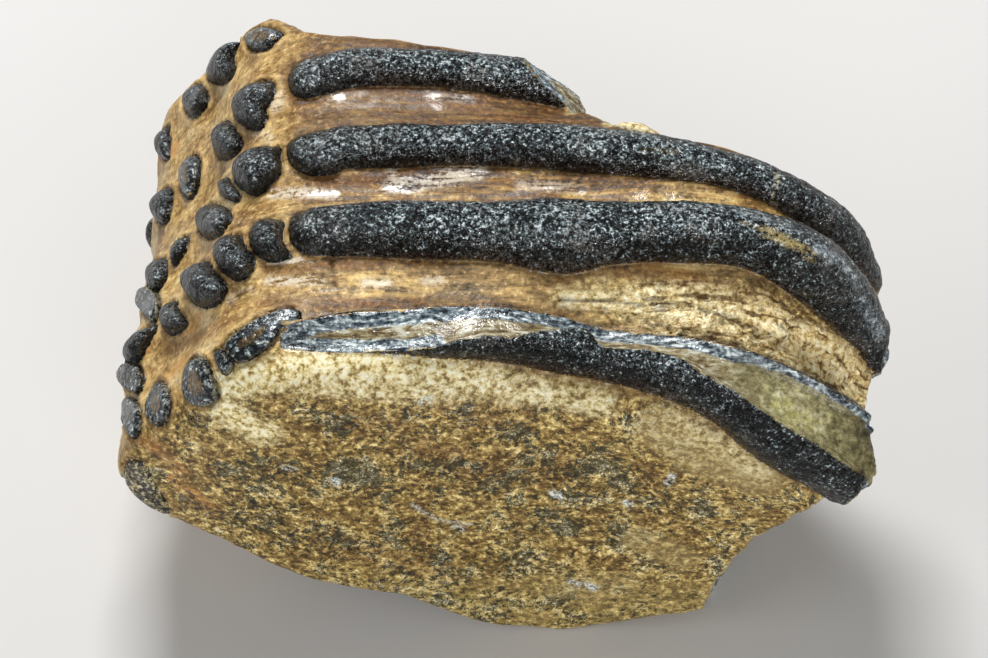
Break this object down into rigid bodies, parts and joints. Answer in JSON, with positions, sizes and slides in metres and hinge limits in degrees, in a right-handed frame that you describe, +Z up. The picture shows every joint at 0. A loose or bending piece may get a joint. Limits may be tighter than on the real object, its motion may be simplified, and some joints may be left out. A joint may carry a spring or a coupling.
{
  "type": "fossil mammoth tooth",
  "caption": "Broken fossil mammoth molar lying on its side, black enamel plate edges and bead rows standing out of tan cement.",
  "frame": {"origin": "centre of the tooth's footprint box, on the flat side that it rests on", "axes": "+X along the plates from the beaded tips towards the broken root end, +Y through the stack of plates away from the broad cement-covered face, +Z up from the side it rests on"},
  "size_m": [0.139, 0.1038, 0.0823],
  "materials": {
    "fossil_tooth": "varnished tan cement with near-black rugose enamel bars and beads, blue-grey enamel sections and cream to olive dentine in the breaks; semi-gloss"
  },
  "bodies": {
    "root": {"mammoth_tooth": "fossil_tooth"}
  },
  "joints": []
}
